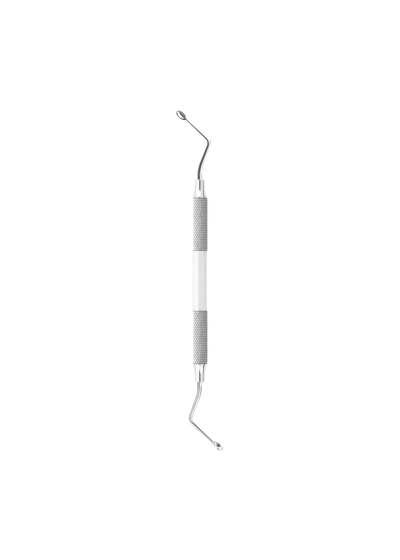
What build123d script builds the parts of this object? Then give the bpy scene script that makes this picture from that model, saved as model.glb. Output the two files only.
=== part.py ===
"""Double-ended surgical curette: a hollow knurled handle, two turned end cones and two spoon tips.

The handle lies along Y on the crests of its knurl, and the bends of both tips lie in the
horizontal plane through its axis. The origin is on the floor under mid-handle.
Each end cone has a spigot pressed into the tube, and each tip has a tang pressed into its cone.
The far tip turns its hollow up, and the near tip is its mirrored partner, with the hollow down.
"""

import os
from math import cos, pi, radians, sin, tan

from build123d import *

# Handle tube, in millimetres
GRIP_DIAMETER = 8.0
MIDDLE_DIAMETER = 7.9
MIDDLE_LENGTH = 30.3
TUBE_WALL = 1.0

# Diamond knurl on both grips: crests at the grip diameter, helical grooves between them
KNURL_LENGTH = 27.0
KNURL_DEPTH = 0.28
DIAMOND_WIDTH = 1.05
HELIX_ANGLE = 30.0

# End cones
CONE_LENGTH = 9.25
SHOULDER_DIAMETER = 7.4
SHOULDER_LAND = 0.7
FLARE_LENGTH = 4.9
NOSE_DIAMETER = 5.33
NOSE_TAPER = 1.5
NOSE_CHAMFER = 0.25
SPIGOT_LENGTH = 8.0
SPIGOT_CHAMFER = 0.4

# Tips: tang, tapered shank with two bends, and spoon
TANG_LENGTH = 10.0
TANG_RELIEF = 0.5
SHANK_DIAMETER = 3.05
NECK_DIAMETER = 1.5
FIRST_RUN = 5.54
SECOND_RUN = 14.9
LAST_RUN = 16.5
FIRST_TURN = 21.2
SECOND_TURN = 68.0
FIRST_BEND_RADIUS = 19.0
SECOND_BEND_RADIUS = 4.0
SPOON_WIDTH = 3.4
SPOON_DEPTH = 1.4
SPOON_HEEL_LENGTH = 3.7
SPOON_NOSE_LENGTH = 2.7
SPOON_SHIFT = 0.48
SPOON_WALL = 0.25
HEEL_WALL = 0.8
RIM_HEIGHT = 0.25
RAMP_LENGTH = 1.3
TAIL_LENGTH = 2.4
TAIL_DIAMETER = 0.6

# Worked out
GRIP_RADIUS = GRIP_DIAMETER / 2
GROOVE_RADIUS = GRIP_RADIUS - KNURL_DEPTH
BORE_RADIUS = GRIP_RADIUS - TUBE_WALL
MIDDLE_END = MIDDLE_LENGTH / 2
TUBE_END = MIDDLE_END + KNURL_LENGTH
CONE_NOSE = TUBE_END + CONE_LENGTH
KNURL_COLUMNS = 2 * round(pi * GRIP_DIAMETER / DIAMOND_WIDTH)
KNURL_ROWS = 2 * round(KNURL_LENGTH * tan(radians(HELIX_ANGLE)) / DIAMOND_WIDTH)
AXIS_HEIGHT = GRIP_RADIUS * cos(pi / KNURL_COLUMNS)


def knurled_band(start):
    """One grip as a closed body of four-sided pyramids, standing along Y from the height start.

    Points lie on a chequered grid. On one colour they are crests, on the other the crossings of
    the grooves, and every grid cell is split along its groove. Both end rows stay at groove depth.
    The grid is turned by half a column, so that the grip rests on two lines of crests.
    """

    def point(column, row):
        is_crest = (column + row) % 2 == 0 and 0 < row < KNURL_ROWS
        radius = GRIP_RADIUS if is_crest else GROOVE_RADIUS
        angle = 2 * pi * (column + 0.5) / KNURL_COLUMNS
        height = start + KNURL_LENGTH * row / KNURL_ROWS
        return Vector(radius * sin(angle), height, -radius * cos(angle))

    grid = [[point(column, row) for column in range(KNURL_COLUMNS)] for row in range(KNURL_ROWS + 1)]
    faces = [Face(Wire.make_polygon(grid[row])) for row in (0, KNURL_ROWS)]
    for row in range(KNURL_ROWS):
        for column in range(KNURL_COLUMNS):
            beside = (column + 1) % KNURL_COLUMNS
            low, low_beside = grid[row][column], grid[row][beside]
            high, high_beside = grid[row + 1][column], grid[row + 1][beside]
            if (column + row) % 2 == 0:
                triangles = (low, low_beside, high), (low_beside, high_beside, high)
            else:
                triangles = (low, low_beside, high_beside), (low, high_beside, high)
            faces += [Face(Wire.make_polygon(corners)) for corners in triangles]
    return Solid(Shell(faces))


def turned(profile):
    """The body turned about the handle axis from a half section of lines in the XY plane."""
    return revolve(make_face(profile), Axis.Y)


def rod(diameter, start, end):
    """A round bar on the handle axis from one height to another."""
    circle = Plane((0, start, 0), x_dir=(1, 0, 0), z_dir=(0, 1, 0)) * Circle(diameter / 2)
    return extrude(circle, end - start)


def handle_tube():
    """The tube: a smooth middle between two knurled grips, bored right through."""
    body = rod(MIDDLE_DIAMETER, -MIDDLE_END, MIDDLE_END)
    body += knurled_band(MIDDLE_END)
    body += knurled_band(-TUBE_END)
    return body - rod(2 * BORE_RADIUS, -TUBE_END, TUBE_END)


def end_cone():
    """The far cone: a short land at the tube, a hollow flare down to the nose, and the spigot."""
    nose_radius = NOSE_DIAMETER / 2
    flare_start = (SHOULDER_DIAMETER / 2, TUBE_END + SHOULDER_LAND)
    flare_foot = TUBE_END + SHOULDER_LAND + FLARE_LENGTH
    taper = tan(radians(NOSE_TAPER))
    flare_end = (nose_radius + taper * (CONE_NOSE - flare_foot), flare_foot)
    chamfer_start = (nose_radius + taper * NOSE_CHAMFER, CONE_NOSE - NOSE_CHAMFER)
    spigot_foot = TUBE_END - SPIGOT_LENGTH
    outline = Curve() + [
        Polyline(
            chamfer_start,
            (nose_radius - NOSE_CHAMFER, CONE_NOSE),
            (0, CONE_NOSE),
            (0, spigot_foot),
            (BORE_RADIUS - SPIGOT_CHAMFER, spigot_foot),
            (BORE_RADIUS, spigot_foot + SPIGOT_CHAMFER),
            (BORE_RADIUS, TUBE_END),
            (SHOULDER_DIAMETER / 2, TUBE_END),
            flare_start,
        ),
        TangentArc(flare_end, flare_start, tangent=(taper, -1)),
        Line(flare_end, chamfer_start),
    ]
    return turned(outline) - rod(SHANK_DIAMETER, CONE_NOSE - TANG_LENGTH - TANG_RELIEF, CONE_NOSE)


def egg(heel_length, nose_length, half_width, depth):
    """Two half ellipsoids back to back on the X axis, widest where they meet at the origin."""
    half_ball = Sphere(1, rotation=(0, 90, 0)) & Pos(X=1) * Box(2, 2, 2)
    nose = scale(half_ball, by=(nose_length, half_width, depth))
    heel = scale(mirror(half_ball, Plane.YZ), by=(heel_length, half_width, depth))
    return nose + heel


def spoon():
    """The spoon with its hollow up, X ahead and the end of the shank at the origin.

    The cup is the lower half of an egg, set over to the inside of the bends. The shank runs on
    into its heel as a short tail, ground down to the rim by a round ramp.
    """
    neck_radius = NECK_DIAMETER / 2
    half_width = SPOON_WIDTH / 2
    widest = Pos(SPOON_HEEL_LENGTH, SPOON_SHIFT, RIM_HEIGHT)
    cup = egg(SPOON_HEEL_LENGTH, SPOON_NOSE_LENGTH, half_width, SPOON_DEPTH)
    cup &= Pos(Z=-SPOON_WIDTH) * Box(4 * SPOON_HEEL_LENGTH, 2 * SPOON_WIDTH, 2 * SPOON_WIDTH)
    tail = Plane.YZ * Pos(Z=TAIL_LENGTH / 2) * Cone(neck_radius, TAIL_DIAMETER / 2, TAIL_LENGTH)
    ground_off = Curve() + [
        TangentArc((RAMP_LENGTH, RIM_HEIGHT), (0, neck_radius), tangent=(-1, 0)),
        Polyline(
            (0, neck_radius),
            (0, SPOON_WIDTH),
            (SPOON_HEEL_LENGTH, SPOON_WIDTH),
            (SPOON_HEEL_LENGTH, RIM_HEIGHT),
            (RAMP_LENGTH, RIM_HEIGHT),
        ),
    ]
    tail -= extrude(Plane.XZ * make_face(ground_off), SPOON_WIDTH, both=True)
    hollow = egg(
        SPOON_HEEL_LENGTH - HEEL_WALL,
        SPOON_NOSE_LENGTH - SPOON_WALL,
        half_width - SPOON_WALL,
        SPOON_DEPTH - SPOON_WALL,
    )
    return widest * cup + tail - widest * hollow


def tip():
    """The far tip: tang, shank tapering through both bends, and the spoon with its hollow up."""
    first_heading = radians(90 - FIRST_TURN)
    last_heading = first_heading + radians(SECOND_TURN)
    nose = Vector(0, CONE_NOSE)
    first_corner = nose + Vector(0, FIRST_RUN)
    second_corner = first_corner + SECOND_RUN * Vector(cos(first_heading), sin(first_heading))
    ahead = Vector(cos(last_heading), sin(last_heading))
    neck = second_corner + LAST_RUN * ahead
    path = FilletPolyline(
        nose, first_corner, second_corner, neck, radius=[FIRST_BEND_RADIUS, SECOND_BEND_RADIUS]
    )
    thick_end = Plane(path @ 0, z_dir=path % 0) * Circle(SHANK_DIAMETER / 2)
    thin_end = Plane(path @ 1, z_dir=path % 1) * Circle(NECK_DIAMETER / 2)
    shank = sweep([thick_end, thin_end], path=path, multisection=True)
    tang = rod(SHANK_DIAMETER, CONE_NOSE - TANG_LENGTH, CONE_NOSE)
    return tang + shank + Plane(neck, x_dir=ahead, z_dir=(0, 0, 1)) * spoon()


def opposite(piece):
    """The partner at the near end: mirrored through mid-handle and turned half round the axis."""
    return Rot(Y=180) * mirror(piece, Plane.XZ)


far_cone = end_cone()
far_tip = tip()
NODES = {
    "handle_tube": handle_tube(),
    "far_cone": far_cone,
    "near_cone": opposite(far_cone),
    "far_tip": far_tip,
    "near_tip": opposite(far_tip),
}

os.makedirs("parts", exist_ok=True)
for name, piece in NODES.items():
    export_step(Pos(Z=AXIS_HEIGHT) * piece, f"parts/{name}.step", write_pcurves=False)
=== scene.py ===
"""Double-ended surgical curette, dressed for rendering.

The handle lies along Y. The piece for each CAD node is worked out again as a fine, smooth surface
in the node's own place: two knurled grips and the smooth middle for the tube, a turned cone at
each end, and a bent shank with its spoon beyond each cone.
"""

from math import cos, pi, radians, sin, tan

import bmesh
import bpy
import numpy as np
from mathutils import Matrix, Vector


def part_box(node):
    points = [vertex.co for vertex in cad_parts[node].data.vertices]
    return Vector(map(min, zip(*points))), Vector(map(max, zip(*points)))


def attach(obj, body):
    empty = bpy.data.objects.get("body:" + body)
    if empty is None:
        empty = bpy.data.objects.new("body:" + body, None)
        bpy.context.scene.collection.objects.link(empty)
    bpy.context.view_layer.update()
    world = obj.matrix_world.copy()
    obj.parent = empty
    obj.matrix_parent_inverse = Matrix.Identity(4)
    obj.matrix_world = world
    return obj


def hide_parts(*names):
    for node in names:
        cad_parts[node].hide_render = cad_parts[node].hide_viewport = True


bl_info = {
    "name": "Double-Ended Surgical Curette",
    "version": (1, 0, 0),
    "blender": (4, 5, 0),
    "location": "View3D > Sidebar > Curette",
    "description": "Builds a knurled double-ended curette in steel, with its studio",
    "category": "Add Mesh",
}

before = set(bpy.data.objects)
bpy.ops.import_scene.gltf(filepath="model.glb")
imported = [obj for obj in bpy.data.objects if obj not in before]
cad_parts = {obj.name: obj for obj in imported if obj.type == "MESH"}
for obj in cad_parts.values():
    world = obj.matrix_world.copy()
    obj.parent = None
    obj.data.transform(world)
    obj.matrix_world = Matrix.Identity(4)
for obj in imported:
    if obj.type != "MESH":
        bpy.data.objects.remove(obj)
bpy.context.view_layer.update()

MM = 0.001
TUBE_LOW, TUBE_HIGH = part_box("handle_tube")
TUBE_END = TUBE_HIGH[1]
AXIS_HEIGHT = (TUBE_LOW[2] + TUBE_HIGH[2]) / 2
CONE_RADIUS, CONE_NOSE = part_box("far_cone")[1][:2]

# Mesh columns round a turned piece, and in a tip's section: round the back, along each rim and
# across the hollow
TURNED_COLUMNS = 128
BACK_COLUMNS = 32
RIM_COLUMNS = 8
HOLLOW_COLUMNS = 24

# Profile rows over a cone's land and over its flare
LAND_STATIONS = 9
FLARE_STATIONS = 33

# The spoon's sections begin a little before its neck, which is at 0, and take the place of the
# shank's last few stations
SPOON_START = -1.6 * MM
SHANK_OVERLAP = 4

# Stations over each part of the spoon, and samples of the finer line that its outline is read from
NECK_STATIONS = 48
HEEL_STATIONS = 28
NOSE_STATIONS = 22
END_STATIONS = 9
OUTLINE_SAMPLES = 1200


def linear(hex_colour):
    """Turn an sRGB hex colour into the linear values that the shaders take.

    The curve is a straight line near black and a power of 2.4 above it.
    """
    srgb = np.array([int(hex_colour[place : place + 2], 16) for place in (1, 3, 5)]) / 255
    return tuple(np.where(srgb <= 0.04045, srgb / 12.92, ((srgb + 0.055) / 1.055) ** 2.4).tolist())


def length(name, default, description):
    """A size in metres, given in millimetres."""
    return bpy.props.FloatProperty(
        name=name,
        default=default * MM,
        min=0.0,
        precision=5,
        subtype="DISTANCE",
        unit="LENGTH",
        description=description,
    )


def angle(name, default, description):
    """A turn, given in degrees."""
    return bpy.props.FloatProperty(
        name=name,
        default=radians(default),
        subtype="ANGLE",
        unit="ROTATION",
        description=description,
    )


def colour(name, default, description):
    """A colour, given as sRGB hex."""
    return bpy.props.FloatVectorProperty(
        name=name,
        default=linear(default),
        size=3,
        min=0.0,
        max=1.0,
        subtype="COLOR",
        description=description,
    )


class HandleSettings(bpy.types.PropertyGroup):
    """Sizes and colours of the tube that the hand holds."""

    grip_radius: length("Grip radius", 3.99, "Radius over the crests of the knurl")
    knurl_depth: length("Knurl depth", 0.28, "Depth of the knurl's grooves below its crests")
    knurl_run_out: length("Knurl run-out", 0.15, "Length over which the knurl fades at each end")
    middle_radius: length("Middle radius", 3.95, "Radius of the smooth middle")
    middle_length: length("Middle length", 30.3, "Length of the smooth middle")
    columns: bpy.props.IntProperty(
        name="Knurl columns", default=48, min=8, description="Half diamonds around the grip"
    )
    rows: bpy.props.IntProperty(
        name="Knurl rows", default=30, min=4, description="Half diamonds along each grip"
    )
    fineness: bpy.props.IntProperty(
        name="Fineness", default=5, min=1, description="Mesh steps across each half diamond"
    )
    grip_colour: colour("Grip colour", "#F0F0F0", "Steel on the crests of the knurl")
    # The groove colour is painted shade: it darkens the grooves for the shade that falls in them.
    painted_groove_shade: colour("Groove colour", "#696969", "Darker steel in the grooves of the knurl")
    middle_colour: colour("Middle colour", "#DEDEDE", "Ground steel of the smooth middle")


class ConeSettings(bpy.types.PropertyGroup):
    """Sizes and colour of the turned end cones."""

    shoulder_land: length("Shoulder land", 0.7, "Nearly straight land next to the tube")
    flare_length: length("Flare length", 4.9, "Length of the hollow flare")
    nose_radius: length("Nose radius", 2.665, "Radius at the thin end")
    nose_taper: angle("Nose taper", 1.5, "Slope of the nearly straight nose")
    nose_chamfer: length("Nose chamfer", 0.25, "Broken edge of the nose")
    shoulder_chamfer: length("Shoulder chamfer", 0.05, "Broken edge of the land at the tube")
    shoulder_crown: length("Shoulder crown", 0.06, "Fall of the land from its middle to each edge")
    steel_colour: colour("Steel colour", "#CCCCCC", "Turned and brushed steel")


class TipSettings(bpy.types.PropertyGroup):
    """Sizes and colour of the bent shanks and their spoons."""

    shank_radius: length("Shank radius", 1.525, "Radius at the cone")
    neck_radius: length("Neck radius", 0.75, "Radius where the spoon begins")
    first_run: length("First run", 5.54, "From the cone to the first corner of the path")
    second_run: length("Second run", 14.9, "From the first corner to the second")
    last_run: length("Last run", 16.5, "From the second corner to the neck")
    first_turn: angle("First turn", 21.2, "Turn away from the handle's line")
    second_turn: angle("Second turn", 68.0, "Turn back across the handle's line")
    first_bend: length("First bend", 19.0, "Radius of the gentle bend")
    second_bend: length("Second bend", 4.0, "Radius of the sharp bend")
    half_width: length("Half width", 1.7, "Half the width of the spoon")
    depth: length("Depth", 1.4, "Depth of the spoon's back below its rim")
    heel_length: length("Heel length", 3.7, "From the neck to the widest place of the spoon")
    nose_length: length("Nose length", 2.7, "From the widest place to the tip of the spoon")
    shift: length("Shift", 0.48, "How far the spoon stands over to the inside of the bends")
    wall: length("Wall", 0.25, "Width of the rim along the sides and the tip")
    heel_wall: length("Heel wall", 0.8, "Width of the rim at the heel")
    rim_height: length("Rim height", 0.25, "Height of the rim above the shank's centre line")
    ramp_length: length("Ramp length", 1.3, "Length over which the shank is ground down to the rim")
    tail_length: length("Tail length", 2.4, "Length of the shank's tail under the heel")
    tail_radius: length("Tail radius", 0.3, "Radius at the end of the tail")
    blend: length("Blend", 0.25, "Reach of the rounding between tail and heel")
    steel_colour: colour("Steel colour", "#CCCCCC", "Polished steel")


class StudioSettings(bpy.types.PropertyGroup):
    """The floor, the lights and the camera."""

    floor_size: length("Floor size", 3000.0, "Side of the square floor")
    floor_colour: colour("Floor colour", "#E6E6E6", "Pale matt floor")
    surround_colour: colour("Surround colour", "#6C6C6C", "Dim room around the floor")
    frame_height: length("Frame height", 284.5, "Height of the picture at the handle's axis")
    camera_distance: length("Camera distance", 1600.0, "From the handle's axis to the camera")
    camera_right: length("Camera right", 0.15, "The camera's place to the right of the handle")
    camera_up: length("Camera up", 0.41, "The camera's place beyond the middle of the handle")


def node(tree, kind, inputs=(), **settings):
    """Add a shader node, set it up, and give its sockets their values or links."""
    new = tree.nodes.new("ShaderNode" + kind)
    for name, value in settings.items():
        setattr(new, name, value)
    for socket, value in dict(inputs).items():
        if isinstance(value, bpy.types.NodeSocket):
            tree.links.new(value, new.inputs[socket])
        else:
            new.inputs[socket].default_value = value
    return new


def new_material(name, base_colour):
    """A metal material, with its tree, its shader and its Object coordinates."""
    material = bpy.data.materials.new(name)
    material.use_nodes = True
    material.diffuse_color = (*base_colour, 1)
    tree = material.node_tree
    shader = tree.nodes["Principled BSDF"]
    shader.inputs["Base Color"].default_value = (*base_colour, 1)
    shader.inputs["Metallic"].default_value = 1.0
    place = node(tree, "TexCoord").outputs["Object"]
    return material, tree, shader, place


def lines_around(tree, place, spacing, stretch):
    """Noise drawn out into fine lines round the Y axis, about spacing metres apart.

    It changes stretch times more slowly across the axis than along it.
    """
    stretched = node(tree, "Mapping", {"Vector": place, "Scale": (1 / stretch, 1, 1 / stretch)})
    lines = {"Vector": stretched.outputs["Vector"], "Scale": 1 / spacing}
    return node(tree, "TexNoise", {**lines, "Detail": 3.0, "Roughness": 0.6}).outputs["Fac"]


def mark_steel(tree, shader, pattern, roughness, strength, depth):
    """Let a pattern of noise vary a steel's roughness between two values and raise fine bumps.

    The noise stays between about 0.3 and 0.7, which is carried over to the two values.
    """
    rough, rougher = roughness
    ends = {"From Min": 0.3, "From Max": 0.7, "To Min": rough, "To Max": rougher}
    spread = node(tree, "MapRange", {"Value": pattern, **ends})
    tree.links.new(spread.outputs["Result"], shader.inputs["Roughness"])
    bump = node(tree, "Bump", {"Height": pattern, "Strength": strength, "Distance": depth})
    tree.links.new(bump.outputs["Normal"], shader.inputs["Normal"])


def ground_steel(base_colour):
    """Stainless steel, centreless ground and left satin.

    The eye gets an even pale grey without a sharp reflection, with faint rings round the tube.
    Real grinding lines are a few hundredths of a millimetre apart. They are drawn 0.25 mm apart
    so that they show.
    """
    material, tree, shader, place = new_material("ground stainless steel", base_colour)
    rings = lines_around(tree, place, 0.25 * MM, 12)
    mark_steel(tree, shader, rings, (0.5, 0.6), 0.25, 0.01 * MM)
    return material


def knurled_steel(crest_colour, painted_groove_shade, crest_radius, groove_radius):
    """Stainless steel with a pressed diamond knurl.

    Pressing leaves the skin dull. The grooves take a darker colour than the crests as painted
    shade, for the shade that falls in the grooves, so the pattern still reads where both face the
    same way. The skin's real grain is a few hundredths of a millimetre wide. It is drawn 0.4 mm
    wide so that it shows. The Mix node's colours are its sockets 6 and 7, and its mixed colour is
    its output 2.
    """
    material, tree, shader, place = new_material("knurled stainless steel", crest_colour)
    shader.inputs["Roughness"].default_value = 0.8
    from_axis = node(tree, "VectorMath", {0: place, 1: (0, 0, -AXIS_HEIGHT)}, operation="ADD")
    across = node(
        tree, "VectorMath", {0: from_axis.outputs["Vector"], 1: (1, 0, 1)}, operation="MULTIPLY"
    )
    radius = node(tree, "VectorMath", {0: across.outputs["Vector"]}, operation="LENGTH")
    height = node(
        tree,
        "MapRange",
        {"Value": radius.outputs["Value"], "From Min": groove_radius, "From Max": crest_radius},
    ).outputs["Result"]
    # Painted shade: the grooves get the darker colour for the shade that falls in them, and the
    # crests get the lighter one.
    colours = {"Factor": height, 6: (*painted_groove_shade, 1), 7: (*crest_colour, 1)}
    shade = node(tree, "Mix", colours, data_type="RGBA")
    tree.links.new(shade.outputs[2], shader.inputs["Base Color"])
    grain = node(tree, "TexNoise", {"Vector": place, "Scale": 1 / (0.4 * MM), "Detail": 2.0})
    bump = node(
        tree, "Bump", {"Height": grain.outputs["Fac"], "Strength": 0.2, "Distance": 0.02 * MM}
    )
    tree.links.new(bump.outputs["Normal"], shader.inputs["Normal"])
    return material


def turned_steel(base_colour):
    """Stainless steel, turned and brushed while it spun.

    The fine rings stretch each reflection along the handle and keep it sharp across, which gives
    the long bright and dark stripes. Real rings are a few hundredths of a millimetre apart. They
    are drawn 0.2 mm apart so that they show. The UV map runs along the handle, so the stretch
    does too.
    """
    material, tree, shader, place = new_material("turned stainless steel", base_colour)
    shader.inputs["Anisotropic"].default_value = 0.8
    along = node(tree, "Tangent", direction_type="UV_MAP", uv_map="UVMap")
    tree.links.new(along.outputs["Tangent"], shader.inputs["Tangent"])
    rings = lines_around(tree, place, 0.2 * MM, 15)
    mark_steel(tree, shader, rings, (0.12, 0.15), 0.05, 0.01 * MM)
    return material


def polished_steel(base_colour):
    """Hardened stainless steel, polished by hand.

    The eye gets clear reflections that waver slightly, because hand polishing leaves low waves,
    here about 2.5 mm long.
    """
    material, tree, shader, place = new_material("polished stainless steel", base_colour)
    waves = node(tree, "TexNoise", {"Vector": place, "Scale": 1 / (2.5 * MM), "Detail": 2.0})
    mark_steel(tree, shader, waves.outputs["Fac"], (0.05, 0.09), 0.03, 0.05 * MM)
    return material


def grid_quads(rows, columns):
    """Corner numbers of every quad on a grid whose last column joins its first."""
    index = np.arange(rows * columns).reshape(rows, columns)
    beside = np.roll(index, -1, axis=1)
    return np.stack([index[:-1], index[1:], beside[1:], beside[:-1]], axis=-1)


def add_piece(name, points, faces, material, node_name, sharp=30, uvs=None):
    """Put a closed surface into the scene as one piece that stands for a CAD node.

    points is rows x columns x 3 in metres and faces holds corner numbers into it. Points that
    coincide are merged, so that poles close, and the faces are turned outwards. An edge that
    folds by more than sharp degrees stays sharp.
    """
    mesh = bpy.data.meshes.new(name)
    corners = faces.shape[-1]
    faces = faces.reshape(-1, corners)
    mesh.vertices.add(points.size // 3)
    mesh.vertices.foreach_set("co", points.astype(np.float32).ravel())
    mesh.loops.add(faces.size)
    mesh.loops.foreach_set("vertex_index", faces.astype(np.int32).ravel())
    mesh.polygons.add(len(faces))
    mesh.polygons.foreach_set("loop_start", np.arange(0, faces.size, corners, dtype=np.int32))
    if uvs is not None:
        layer = mesh.uv_layers.new(name="UVMap")
        layer.uv.foreach_set("vector", uvs.astype(np.float32).ravel())
    mesh.update(calc_edges=True)
    shell = bmesh.new()
    shell.from_mesh(mesh)
    bmesh.ops.remove_doubles(shell, verts=shell.verts, dist=1e-7)
    bmesh.ops.recalc_face_normals(shell, faces=shell.faces)
    shell.to_mesh(mesh)
    shell.free()
    mesh.validate()
    mesh.shade_smooth()
    mesh.set_sharp_from_angle(angle=radians(sharp))
    mesh.materials.append(material)
    piece = bpy.data.objects.new(name, mesh)
    bpy.context.scene.collection.objects.link(piece)
    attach(piece, "root")
    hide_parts(node_name)


def around_axis(radius, turn, along):
    """Points at x = radius sin(turn), y = along and z = axis height - radius cos(turn)."""
    return np.stack(
        [radius * np.sin(turn), along + 0 * turn, AXIS_HEIGHT - radius * np.cos(turn)], axis=-1
    )


def turned_uvs(profile):
    """UV corners of a turned piece, in metres.

    u is the length along its profile, and v the way round it at its widest radius.
    """
    steps = np.hypot(*np.diff(profile, axis=0).T)
    along = np.concatenate([[0], np.cumsum(steps)])
    around = np.arange(TURNED_COLUMNS + 1) / TURNED_COLUMNS * 2 * pi * profile[:, 0].max()
    shape = len(steps), TURNED_COLUMNS
    low, high = (np.broadcast_to(side[:, None], shape) for side in (along[:-1], along[1:]))
    left, right = (np.broadcast_to(side, shape) for side in (around[:-1], around[1:]))
    corners = (low, left), (high, left), (high, right), (low, right)
    return np.stack([np.stack(pair, axis=-1) for pair in corners], axis=2)


def turned_piece(name, profile, material, node_name):
    """A closed turned piece: a profile of (radius, y) rows, carried round the handle's axis."""
    profile = np.array(profile)
    turn = 2 * pi * np.arange(TURNED_COLUMNS) / TURNED_COLUMNS
    points = around_axis(profile[:, :1], turn, profile[:, 1:])
    faces = grid_quads(*points.shape[:2])
    add_piece(name, points, faces, material, node_name, uvs=turned_uvs(profile))


def knurl_grid(handle, start, band):
    """Points and triangles of one knurled grip, closed by flat ends.

    With x half diamonds round the grip and y half diamonds along it, one family of grooves runs
    where x + y is odd and the other where x - y is odd. The height above the grooves rises evenly
    with the distance to the nearer groove, and stops at four fifths of the way to the crest,
    where the real points are worn flat. At each end of the band it is held down by a slope.
    The grid is turned by half a column, so that the grip lies on two lines of crests, and every
    square of it is split the way that its groove runs.
    """
    worn_flat = 0.8
    fine = handle.fineness
    column = np.arange(handle.columns * fine) / fine
    row = np.arange(handle.rows * fine + 1)[:, None] / fine
    to_groove = np.minimum(abs((column + row) % 2 - 1), abs((column - row) % 2 - 1))
    to_end = np.minimum(row, handle.rows - row) * band / handle.rows
    rise = np.minimum(np.minimum(to_groove / worn_flat, 1), to_end / handle.knurl_run_out)
    turn = 2 * pi * (column + 0.5) / handle.columns
    middle = np.zeros((1, len(column)))
    surface = handle.grip_radius - handle.knurl_depth + handle.knurl_depth * rise
    radius = np.concatenate([middle, surface, middle])
    step = np.clip(np.arange(-1, len(row) + 1), 0, len(row) - 1)[:, None]
    points = around_axis(radius, turn, start + step * (band / (len(row) - 1)))
    quads = grid_quads(len(radius), len(column))
    even = (np.floor(column) + np.floor(np.arange(-1, len(row)) / fine)[:, None]) % 2 == 0
    low, high, high_beside, low_beside = np.moveaxis(quads, -1, 0)
    first = np.where(even, high, high_beside)
    second = np.where(even, low_beside, low)
    lower = np.stack([low, first, low_beside], axis=-1)
    upper = np.stack([high, high_beside, second], axis=-1)
    return points, np.stack([lower, upper])


def flare_arc(foot, slope, top):
    """The hollow flare as (radius, y) rows: an arc that leaves foot along the nose's taper.

    Its centre stands square to the taper at foot, as far from foot as from top.
    """
    square = np.array([cos(slope), sin(slope)])
    chord = top - foot
    bend = chord @ chord / (2 * chord @ square)
    centre = foot + bend * square
    start, end = (np.arctan2(*(point - centre)[::-1]) for point in (foot, top))
    sweep = (end - start + pi) % (2 * pi) - pi
    turns = start + sweep * np.linspace(0, 1, FLARE_STATIONS)
    return centre + abs(bend) * np.stack([np.cos(turns), np.sin(turns)], axis=-1)


def cone_profile(cone):
    """Half section of the far cone as (radius, y) rows, from the axis at the tube to the nose.

    The land is crowned: it falls by the crown times the square of the way from its middle.
    """
    slope = cone.nose_taper
    foot_y = TUBE_END + cone.shoulder_land + cone.flare_length
    foot = np.array([cone.nose_radius + tan(slope) * (CONE_NOSE - foot_y), foot_y])
    way = np.linspace(-1, 1, LAND_STATIONS)
    land_radius = CONE_RADIUS - cone.shoulder_crown * way**2
    land_y = TUBE_END + cone.shoulder_chamfer
    land_y = land_y + (cone.shoulder_land - cone.shoulder_chamfer) * (way + 1) / 2
    land = np.stack([land_radius, land_y], axis=-1)
    nose_edge = cone.nose_radius + tan(slope) * cone.nose_chamfer
    return np.concatenate(
        [
            [(0, TUBE_END), (land_radius[0] - cone.shoulder_chamfer, TUBE_END)],
            land[:-1],
            flare_arc(foot, slope, land[-1])[::-1],
            [
                (nose_edge, CONE_NOSE - cone.nose_chamfer),
                (cone.nose_radius - cone.nose_chamfer, CONE_NOSE),
                (0, CONE_NOSE),
            ],
        ]
    )


def opposite(points):
    """The near partner of a far piece: each point goes through mid-handle and as far beyond."""
    return np.array([0, 0, 2 * AXIS_HEIGHT]) - points


def smooth_step(value):
    """Rise from 0 to 1 with level ends: 3 v squared - 2 v cubed, with v held to 0 and 1."""
    value = np.clip(value, 0, 1)
    return value * value * (3 - 2 * value)


def shank_path(tip):
    """Stations along the shank: place, heading and radius, from the cone's nose to the neck.

    The path is straight runs joined by arcs, and each arc takes its radius times tan(half turn)
    off the runs beside it. A span is its length, its turn to the left and its number of steps.
    Over each step the heading turns evenly, and the step's chord is its arc times
    sin(half turn) / (half turn). The radius falls evenly.
    """
    first_cut = tip.first_bend * tan(tip.first_turn / 2)
    second_cut = tip.second_bend * tan(tip.second_turn / 2)
    spans = [
        (tip.first_run - first_cut, 0, 4),
        (tip.first_bend * tip.first_turn, -tip.first_turn, 20),
        (tip.second_run - first_cut - second_cut, 0, 12),
        (tip.second_bend * tip.second_turn, tip.second_turn, 40),
        (tip.last_run - second_cut, 0, 24),
    ]
    steps = np.concatenate([np.full(count, span / count) for span, _, count in spans])
    turns = np.concatenate([np.full(count, turn / count) for _, turn, count in spans])
    heading = pi / 2 + np.concatenate([[0], np.cumsum(turns)])
    middle = (heading[:-1] + heading[1:]) / 2
    chord = steps * np.sinc(turns / (2 * pi))
    moves = chord[:, None] * np.stack([np.cos(middle), np.sin(middle)], axis=-1)
    place = np.array([0, CONE_NOSE]) + np.concatenate([[[0, 0]], np.cumsum(moves, axis=0)])
    share = np.concatenate([[0], np.cumsum(steps)]) / steps.sum()
    radius = tip.shank_radius + share * (tip.neck_radius - tip.shank_radius)
    return place, heading, radius


def half_round(along, centre, before, beyond):
    """Height of an ellipse of unit height at each place, with its own length on each side.

    It is the root of 1 less the square of the way from the centre, in lengths of that side.
    """
    reach = np.where(along < centre, before, beyond)
    return np.sqrt(np.clip(1 - ((along - centre) / reach) ** 2, 0, 1))


def egg_edges(tip, along):
    """Left edge, right edge and bottom of the cup's egg at each place along the spoon.

    Each stands off the egg's own line by the half width, or the depth, times the half round.
    """
    swell = half_round(along, tip.heel_length, tip.heel_length, tip.nose_length)
    return (
        tip.shift + tip.half_width * swell,
        tip.shift - tip.half_width * swell,
        tip.rim_height - tip.depth * swell,
    )


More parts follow.
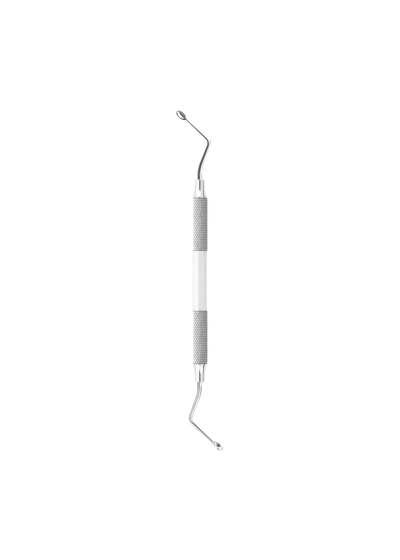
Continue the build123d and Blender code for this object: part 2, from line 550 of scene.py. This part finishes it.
def spoon_outline(tip, along):
    """Left edge, right edge, bottom and top of the tip at each place along the spoon.

    Up to the widest place, the edges and the bottom are the outer of two shapes: the shank's
    tail, a round taper, and the egg of the cup. The top falls to the rim by a quarter of a sine
    wave over the ramp. All are averaged over a short reach each way, which rounds the neck, and
    this fades out between half and four fifths of the heel's length. Beyond the widest place
    there is the egg alone.
    """
    rounding_from, rounding_over = 0.5 * tip.heel_length, 0.3 * tip.heel_length
    fine = np.linspace(-tip.tail_length, tip.heel_length, OUTLINE_SAMPLES)
    slope = (tip.shank_radius - tip.neck_radius) / (tip.first_run + tip.second_run + tip.last_run)
    taper = tip.neck_radius + (tip.tail_radius - tip.neck_radius) * fine / tip.tail_length
    tail = np.where(fine < 0, tip.neck_radius - slope * fine, np.maximum(taper, tip.tail_radius))
    on_spoon = fine >= 0
    egg_left, egg_right, egg_bottom = egg_edges(tip, fine)
    left = np.where(on_spoon, np.maximum(tail, egg_left), tail)
    right = np.where(on_spoon, np.minimum(-tail, egg_right), -tail)
    bottom = np.where(on_spoon, np.minimum(-tail, egg_bottom), -tail)
    ground_off = np.sin(np.clip(fine / tip.ramp_length, 0, 1) * pi / 2)
    ramp = tip.neck_radius - (tip.neck_radius - tip.rim_height) * ground_off
    top = np.where(on_spoon, ramp, tail)
    reach = round(tip.blend / (fine[1] - fine[0]))
    window = np.hanning(2 * reach + 3)[1:-1]
    window /= window.sum()
    own = smooth_step((along - rounding_from) / rounding_over)
    cup_edges = (*egg_edges(tip, along), np.full_like(along, tip.rim_height))
    outline = []
    for edge, cup in zip((left, right, bottom, top), cup_edges):
        padded = np.pad(edge, reach, mode="edge")
        rounded = np.interp(along, fine, np.convolve(padded, window, mode="valid"))
        plain = np.interp(along, fine, edge)
        near = rounded + own * (plain - rounded)
        outline.append(np.where(along > tip.heel_length, cup, near))
    return outline


def spoon_sections(tip, along):
    """Cross sections of the spoon as stations x columns x (left, up), in the spoon's own frame.

    The back is the lower half of an ellipse through both edges and the bottom. The upper side of
    the shank is the other half. Along the cup it becomes a flat rim and a hollow, whose floor is
    the lower half of an ellipsoid. From the neck to the start of the hollow, the columns that
    carry the round of the shank slide over to the rim and the hollow, and the edges rise from
    the shank's middle to the rim, from a little before the neck to the end of the ramp.
    """
    left, right, bottom, top = spoon_outline(tip, along)
    middle, half = (left + right) / 2, (left - right) / 2
    rise_start = -0.3 * tip.ramp_length
    rise = smooth_step((along - rise_start) / (tip.ramp_length - rise_start))
    edge_height = rise * tip.rim_height
    down = pi + pi * np.arange(BACK_COLUMNS) / BACK_COLUMNS
    back = np.stack(
        [
            middle[:, None] + half[:, None] * np.cos(down),
            edge_height[:, None] + (edge_height - bottom)[:, None] * np.sin(down),
        ],
        axis=-1,
    )
    hollow_reach = tip.heel_length - tip.heel_wall, tip.nose_length - tip.wall
    hollow = half_round(along, tip.heel_length, *hollow_reach)
    across = np.cos(pi * np.linspace(0, 1, HOLLOW_COLUMNS + 1))
    inside = tip.shift + ((tip.half_width - tip.wall) * hollow)[:, None] * across
    share = np.linspace(0, 1, RIM_COLUMNS + 1)[:-1]
    left_rim = left[:, None] + share * (inside[:, :1] - left[:, None])
    right_rim = right[:, None] + share * (inside[:, -1:] - right[:, None])
    cup_side = np.concatenate([left_rim, inside, right_rim[:, ::-1]], axis=1)
    over = pi * np.linspace(0, 1, cup_side.shape[1])
    shank_side = middle[:, None] + half[:, None] * np.cos(over)
    become = smooth_step(along / tip.heel_wall)[:, None]
    side = shank_side + become * (cup_side - shank_side)
    not_nil = np.maximum(half, 1e-9)[:, None]
    dome = np.sqrt(1 - np.clip((side - middle[:, None]) / not_nil, -1, 1) ** 2)
    sink = np.zeros_like(side)
    floor = (tip.depth - tip.wall) * hollow[:, None] * np.sqrt(1 - across**2)
    sink[:, RIM_COLUMNS : RIM_COLUMNS + HOLLOW_COLUMNS + 1] = floor
    up = edge_height[:, None] + (top - edge_height)[:, None] * dome - sink
    upper = np.stack([side, up], axis=-1)
    return np.concatenate([upper, back[:, 1:]], axis=1)


def tip_points(tip):
    """The far tip as one closed surface: a section carried along the shank and on into the spoon.

    The shank's section is the first one of the spoon, which is round, sized to the shank's
    radius. The stations stand closer together at both ends of the hollow and at the tip.
    """
    place, heading, radius = shank_path(tip)
    over_neck = np.linspace(SPOON_START, tip.heel_wall, NECK_STATIONS)[:-1]
    heel_turn = np.linspace(0, pi / 2, HEEL_STATIONS)
    over_heel = tip.heel_length - (tip.heel_length - tip.heel_wall) * np.cos(heel_turn)
    nose_turn = np.linspace(0, pi / 2, NOSE_STATIONS)[1:]
    over_nose = tip.heel_length + (tip.nose_length - tip.wall) * np.sin(nose_turn)
    to_end = 1 - np.linspace(0, 1, END_STATIONS)[1:]
    over_end = tip.heel_length + tip.nose_length - tip.wall * to_end**2
    along = np.concatenate([over_neck, over_heel, over_nose, over_end])
    sections = spoon_sections(tip, along)
    left = np.stack([-np.sin(heading), np.cos(heading)], axis=-1)
    ahead = np.array([cos(heading[-1]), sin(heading[-1])])
    spoon_plan = place[-1] + along[:, None, None] * ahead + sections[..., :1] * left[-1]
    spoon = np.concatenate([spoon_plan, AXIS_HEIGHT + sections[..., 1:]], axis=-1)
    shape = sections[0] / np.hypot(*sections[0].T).max()
    shank_plan = place[:, None] + (radius[:, None] * shape[:, 0])[..., None] * left[:, None]
    shank_up = AXIS_HEIGHT + radius[:, None] * shape[:, 1]
    shank = np.concatenate([shank_plan, shank_up[..., None]], axis=-1)[:-SHANK_OVERLAP]
    pole = 1, len(shape), 3
    root = np.broadcast_to([0, CONE_NOSE, AXIS_HEIGHT], pole)
    end = np.broadcast_to(spoon[-1].mean(axis=0), pole)
    return np.concatenate([root, shank, spoon, end])


class CURETTE_OT_handle(bpy.types.Operator):
    """Build both knurled grips and the smooth middle between them"""

    bl_idname = "curette.handle"
    bl_label = "Handle"

    def execute(self, context):
        handle = context.scene.curette_handle
        half_middle = handle.middle_length / 2
        band = TUBE_END - half_middle
        groove_radius = handle.grip_radius - handle.knurl_depth
        steel = knurled_steel(
            handle.grip_colour, handle.painted_groove_shade, handle.grip_radius, groove_radius
        )
        for name, start in (("far_grip", half_middle), ("near_grip", -TUBE_END)):
            points, faces = knurl_grid(handle, start, band)
            add_piece(name, points, faces, steel, "handle_tube")
        profile = [
            (0, -half_middle),
            (handle.middle_radius, -half_middle),
            (handle.middle_radius, half_middle),
            (0, half_middle),
        ]
        steel = ground_steel(handle.middle_colour)
        turned_piece("smooth_middle", profile, steel, "handle_tube")
        return {"FINISHED"}


class CURETTE_OT_cones(bpy.types.Operator):
    """Build the turned cone at each end of the handle"""

    bl_idname = "curette.cones"
    bl_label = "End Cones"

    def execute(self, context):
        cone = context.scene.curette_cones
        steel = turned_steel(cone.steel_colour)
        far = cone_profile(cone)
        near = far * (1, -1)
        turned_piece("far_end_cone", far, steel, "far_cone")
        turned_piece("near_end_cone", near, steel, "near_cone")
        return {"FINISHED"}


class CURETTE_OT_tips(bpy.types.Operator):
    """Build the bent shank and the spoon at each end"""

    bl_idname = "curette.tips"
    bl_label = "Tips"

    def execute(self, context):
        tip = context.scene.curette_tips
        steel = polished_steel(tip.steel_colour)
        far = tip_points(tip)
        faces = grid_quads(*far.shape[:2])
        near = opposite(far)
        add_piece("far_spoon", far, faces, steel, "far_tip", sharp=40)
        add_piece("near_spoon", near, faces, steel, "near_tip", sharp=40)
        return {"FINISHED"}


# Pieces that share their lamps
GRIPS = ("far_grip", "near_grip")
CONES = ("far_end_cone", "near_end_cone")
PLAIN = ("smooth_middle", "floor")

# Metres from the origin to the middle of each lamp
LAMP_DISTANCE = 1.2

# Every lamp: its name, its azimuth and its angle from straight above in degrees, its width and
# height in metres, its strength, and the pieces that it lights
PANELS = (
    ("right_panel", 8, 46, 1.8, 1.2, 1.1, PLAIN + CONES),
    ("left_panel", 180, 49, 2.2, 1.7, 1.45, PLAIN + CONES),
    ("far_panel", 90, 42, 0.7, 1.0, 1.4, PLAIN + CONES),
    ("near_panel", 291, 42, 1.4, 1.0, 1.2, PLAIN + CONES),
    ("grip_left_panel", 144, 76, 2.0, 1.5, 2.5, GRIPS),
    ("grip_low_panel", 180, 83, 2.4, 0.37, 10.8, GRIPS),
    ("grip_right_panel", 23, 43, 0.1, 0.2, 5.0, GRIPS),
    ("grip_top_panel", 200, 9, 1.7, 0.55, 5.4, GRIPS),
    ("far_tip_right_panel", 70, 56, 1.8, 1.1, 1.6, ("far_spoon",)),
    ("far_tip_far_panel", 59, 48, 0.75, 1.7, 2.2, ("far_spoon",)),
    ("far_tip_near_panel", 326, 55, 2.0, 1.8, 1.35, ("far_spoon",)),
    ("near_tip_right_panel", -6, 52, 0.1, 1.35, 1.3, ("near_spoon",)),
    ("near_tip_left_panel", 158, 43, 0.9, 1.2, 1.0, ("near_spoon",)),
    ("near_tip_low_panel", 198, 45, 0.4, 0.75, 0.3, ("near_spoon",)),
    ("near_tip_near_panel", 218, 56, 0.67, 1.2, 1.3, ("near_spoon",)),
    ("near_tip_end_panel", 299, 44, 1.7, 1.7, 1.4, ("near_spoon",)),
    ("near_tip_far_panel", 107, 46, 0.83, 1.24, 1.2, ("near_spoon",)),
    ("near_tip_gap_panel", 18, 62, 0.67, 0.47, 2.0, ("near_spoon",)),
    ("near_tip_side_panel", 50, 78, 1.44, 0.26, 1.0, ("near_spoon",)),
)


def add_light(name, azimuth, height_angle, width, tall, strength, lit):
    """A soft rectangular lamp that faces the origin and lights only the pieces named in lit.

    Azimuth is counted from +X towards +Y. The lamp's power is its strength times pi times its
    area, so that steel mirrors it at that strength.
    """
    azimuth, height_angle = radians(azimuth), radians(height_angle)
    lamp = bpy.data.lights.new(name, "AREA")
    lamp.shape = "RECTANGLE"
    lamp.size, lamp.size_y = tall, width
    lamp.energy = strength * pi * tall * width
    holder = bpy.data.objects.new(name, lamp)
    bpy.context.scene.collection.objects.link(holder)
    holder.location = (
        LAMP_DISTANCE * sin(height_angle) * cos(azimuth),
        LAMP_DISTANCE * sin(height_angle) * sin(azimuth),
        LAMP_DISTANCE * cos(height_angle),
    )
    holder.rotation_euler = (0, height_angle, azimuth)
    holder.visible_camera = False
    holder.light_linking.receiver_collection = bpy.data.collections.new(name + "_lights")
    for piece in lit:
        holder.light_linking.receiver_collection.objects.link(bpy.data.objects[piece])


def floor_material(base_colour):
    """Matt white studio paper: it shows only the soft shadow under the handle.

    The photograph's paper is blown out to white, so camera, glossy and transmission rays see it
    a little brighter than it is lit.
    """
    extra_brightness = 0.45
    material = bpy.data.materials.new("matt white paper")
    material.use_nodes = True
    tree = material.node_tree
    shader = tree.nodes["Principled BSDF"]
    shader.inputs["Base Color"].default_value = (*base_colour, 1)
    shader.inputs["Roughness"].default_value = 0.9
    shader.inputs["Specular IOR Level"].default_value = 0.1
    rays = node(tree, "LightPath").outputs
    seen = rays["Is Camera Ray"]
    for kind in ("Is Glossy Ray", "Is Transmission Ray"):
        seen = node(tree, "Math", {0: seen, 1: rays[kind]}, operation="MAXIMUM").outputs[0]
    lift = node(tree, "Math", {0: seen, 1: extra_brightness}, operation="MULTIPLY").outputs[0]
    shader.inputs["Emission Color"].default_value = (1, 1, 1, 1)
    tree.links.new(lift, shader.inputs["Emission Strength"])
    return material


class CURETTE_OT_studio(bpy.types.Operator):
    """Build the floor, the lights, the surround and the camera"""

    bl_idname = "curette.studio"
    bl_label = "Studio"

    def execute(self, context):
        studio = context.scene.curette_studio
        half = studio.floor_size / 2
        mesh = bpy.data.meshes.new("floor")
        corners = [(-half, -half, 0), (half, -half, 0), (half, half, 0), (-half, half, 0)]
        mesh.from_pydata(corners, [], [(0, 1, 2, 3)])
        mesh.materials.append(floor_material(studio.floor_colour))
        floor = bpy.data.objects.new("floor", mesh)
        context.scene.collection.objects.link(floor)

        world = bpy.data.worlds.new("studio surround")
        world.use_nodes = True
        background = world.node_tree.nodes["Background"]
        background.inputs["Color"].default_value = (*studio.surround_colour, 1)
        context.scene.world = world

        for panel in PANELS:
            add_light(*panel)

        camera = bpy.data.objects.new("camera", bpy.data.cameras.new("camera"))
        context.scene.collection.objects.link(camera)
        camera.data.lens = camera.data.sensor_width * studio.camera_distance / studio.frame_height
        camera.data.clip_end = 10 * studio.camera_distance
        camera.location = (
            studio.camera_right,
            studio.camera_up,
            AXIS_HEIGHT + studio.camera_distance,
        )
        context.scene.camera = camera
        context.scene.view_settings.view_transform = "Standard"
        return {"FINISHED"}


class CURETTE_PT_panel(bpy.types.Panel):
    """Lists the operators that build the curette"""

    bl_idname = "CURETTE_PT_panel"
    bl_label = "Curette"
    bl_space_type = "VIEW_3D"
    bl_region_type = "UI"
    bl_category = "Curette"

    def draw(self, context):
        for operator in OPERATORS:
            self.layout.operator(operator.bl_idname)


SETTINGS = {
    "curette_handle": HandleSettings,
    "curette_cones": ConeSettings,
    "curette_tips": TipSettings,
    "curette_studio": StudioSettings,
}
OPERATORS = (CURETTE_OT_handle, CURETTE_OT_cones, CURETTE_OT_tips, CURETTE_OT_studio)


def register():
    """Register every class, and give the scene one group of settings for each kind of piece."""
    for settings in SETTINGS.values():
        bpy.utils.register_class(settings)
    for operator in OPERATORS:
        bpy.utils.register_class(operator)
    bpy.utils.register_class(CURETTE_PT_panel)
    for name, settings in SETTINGS.items():
        setattr(bpy.types.Scene, name, bpy.props.PointerProperty(type=settings))


def unregister():
    """Undo what register did, in the opposite order."""
    for name in SETTINGS:
        delattr(bpy.types.Scene, name)
    bpy.utils.unregister_class(CURETTE_PT_panel)
    for operator in reversed(OPERATORS):
        bpy.utils.unregister_class(operator)
    for settings in reversed(SETTINGS.values()):
        bpy.utils.unregister_class(settings)


def main():
    """Register the add-on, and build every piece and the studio."""
    register()
    bpy.ops.curette.handle()
    bpy.ops.curette.cones()
    bpy.ops.curette.tips()
    bpy.ops.curette.studio()


if __name__ == "__main__":
    main()
